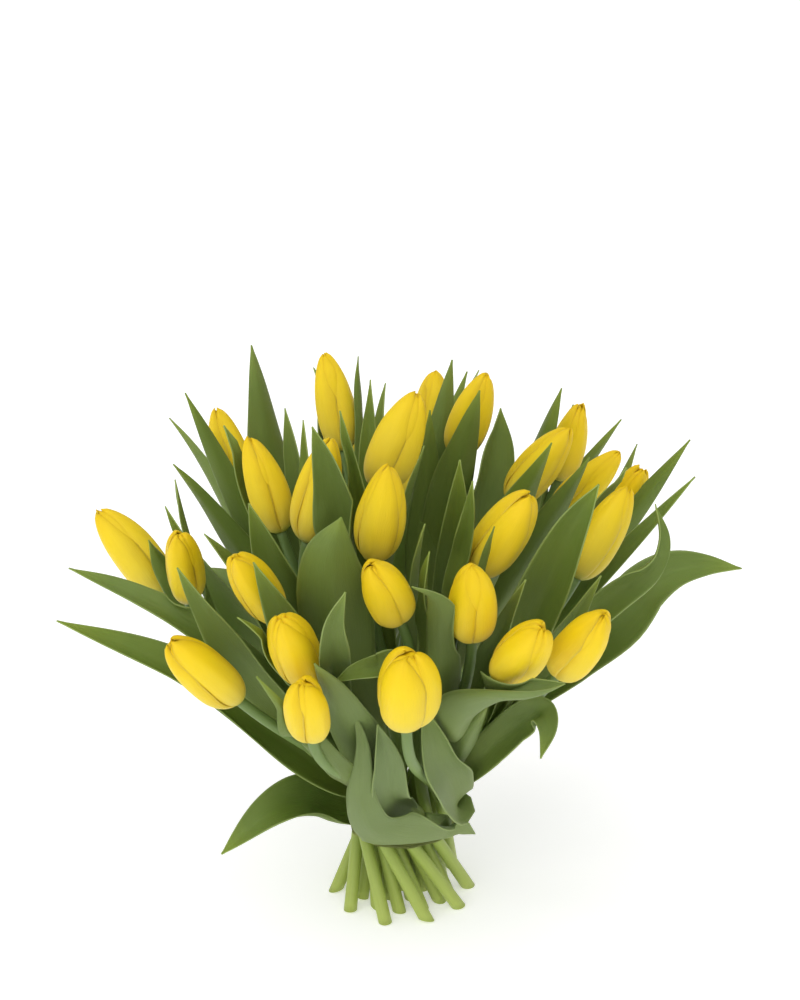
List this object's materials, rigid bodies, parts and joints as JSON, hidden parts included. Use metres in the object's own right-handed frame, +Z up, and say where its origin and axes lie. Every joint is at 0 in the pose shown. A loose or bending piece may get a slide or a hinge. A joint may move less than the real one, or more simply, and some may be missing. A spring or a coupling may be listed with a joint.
{
  "type": "bunch of tulips",
  "caption": "Hand-tied spiral bunch of closed yellow tulips with long folded leaves, standing unheld on its splayed cut stems.",
  "frame": {"origin": "on the surface that the cut stems stand on, under the middle of the bunch's outline seen from above", "axes": "+Z up; -Y towards a viewer of the bunch's front, with the lowest flowers; +X to that viewer's right"},
  "size_m": [0.3785, 0.3341, 0.323],
  "materials": {
    "petal": "satin",
    "stem_and_leaf": "satin",
    "twine": "matte"
  },
  "bodies": {
    "root": {"tulip_01_stem_and_leaves": "stem_and_leaf", "tulip_01_flower": "petal", "tulip_02_stem_and_leaves": "stem_and_leaf", "tulip_02_flower": "petal", "tulip_03_stem_and_leaves": "stem_and_leaf", "tulip_03_flower": "petal", "tulip_04_stem_and_leaves": "stem_and_leaf", "tulip_04_flower": "petal", "tulip_05_stem_and_leaves": "stem_and_leaf", "tulip_05_flower": "petal", "tulip_06_stem_and_leaves": "stem_and_leaf", "tulip_06_flower": "petal", "tulip_07_stem_and_leaves": "stem_and_leaf", "tulip_07_flower": "petal", "tulip_08_stem_and_leaves": "stem_and_leaf", "tulip_08_flower": "petal", "tulip_09_stem_and_leaves": "stem_and_leaf", "tulip_09_flower": "petal", "tulip_10_stem_and_leaves": "stem_and_leaf", "tulip_10_flower": "petal", "tulip_11_stem_and_leaves": "stem_and_leaf", "tulip_11_flower": "petal", "tulip_12_stem_and_leaves": "stem_and_leaf", "tulip_12_flower": "petal", "tulip_13_stem_and_leaves": "stem_and_leaf", "tulip_13_flower": "petal", "tulip_14_stem_and_leaves": "stem_and_leaf", "tulip_14_flower": "petal", "tulip_15_stem_and_leaves": "stem_and_leaf", "tulip_15_flower": "petal", "tulip_16_stem_and_leaves": "stem_and_leaf", "tulip_16_flower": "petal", "tulip_17_stem_and_leaves": "stem_and_leaf", "tulip_17_flower": "petal", "tulip_18_stem_and_leaves": "stem_and_leaf", "tulip_18_flower": "petal", "tulip_19_stem_and_leaves": "stem_and_leaf", "tulip_19_flower": "petal", "tulip_20_stem_and_leaves": "stem_and_leaf", "tulip_20_flower": "petal", "tulip_21_stem_and_leaves": "stem_and_leaf", "tulip_21_flower": "petal", "tulip_22_stem_and_leaves": "stem_and_leaf", "tulip_22_flower": "petal", "tulip_23_stem_and_leaves": "stem_and_leaf", "tulip_23_flower": "petal", "tulip_24_stem_and_leaves": "stem_and_leaf", "tulip_24_flower": "petal", "tulip_25_stem_and_leaves": "stem_and_leaf", "tulip_25_flower": "petal", "tulip_26_stem_and_leaves": "stem_and_leaf", "tulip_26_flower": "petal", "tulip_27_stem_and_leaves": "stem_and_leaf", "tulip_27_flower": "petal", "tulip_28_stem_and_leaves": "stem_and_leaf", "tulip_28_flower": "petal", "tulip_29_stem_and_leaves": "stem_and_leaf", "tulip_29_flower": "petal", "tie": "twine"}
  },
  "joints": []
}
